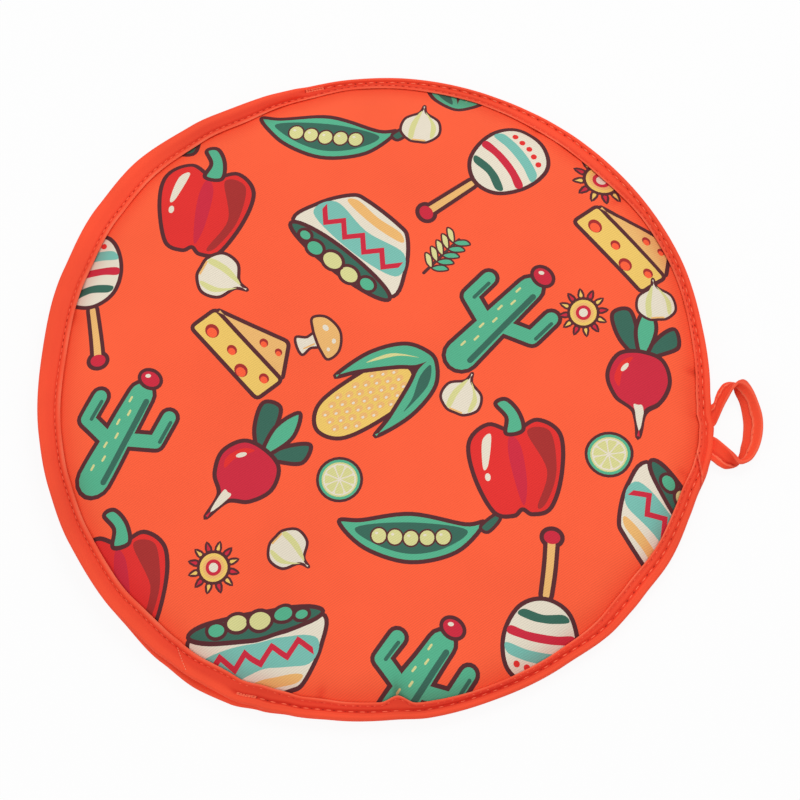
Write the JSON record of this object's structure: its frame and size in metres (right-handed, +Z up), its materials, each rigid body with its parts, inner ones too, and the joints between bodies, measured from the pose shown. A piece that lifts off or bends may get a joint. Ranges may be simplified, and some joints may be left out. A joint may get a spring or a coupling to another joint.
{
  "type": "insulated fabric tortilla pouch",
  "caption": "Round padded fabric pouch that keeps flatbreads warm: two bound discs sewn together round the rim, an open mouth on one side and a hanging loop opposite.",
  "frame": {"origin": "centre of the back disc, on the plane that the pouch lies on", "axes": "+X towards the hanging loop, with the mouth at -X; +Z up out of the front disc; +Y to the right-hand rule"},
  "size_m": [0.33, 0.305, 0.022],
  "materials": {
    "cover": "printed twill",
    "tape": "plain twill tape",
    "lining": "plain woven",
    "wadding": "lofty wadding",
    "thread": "sewing thread"
  },
  "bodies": {
    "pouch": {"back_cover": "cover", "back_wadding": "wadding", "back_lining": "lining", "back_binding": "tape", "back_binding_stitching": "thread", "front_cover": "cover", "front_wadding": "wadding", "front_lining": "lining", "front_binding": "tape", "front_binding_stitching": "thread", "joining_seam": "thread", "bar_tacks": "thread", "loop_tails": "tape"},
    "mouth_flap": {"flap_cover": "cover", "flap_wadding": "wadding", "flap_lining": "lining", "flap_binding": "tape", "flap_binding_stitching": "thread"},
    "hang_loop": {"hanging_loop": "tape"}
  },
  "joints": [
    {"name": "mouth_open", "type": "hinge", "parent": "pouch", "child": "mouth_flap", "pos_m": [-0.04965, 0, 0.01939], "axis": [0, 1, 0], "range_deg": [0, 150]},
    {"name": "loop_swing", "type": "hinge", "parent": "pouch", "child": "hang_loop", "pos_m": [0.1543, 0, 0.00395], "axis": [0, -1, 0], "range_deg": [-90, 110]}
  ]
}
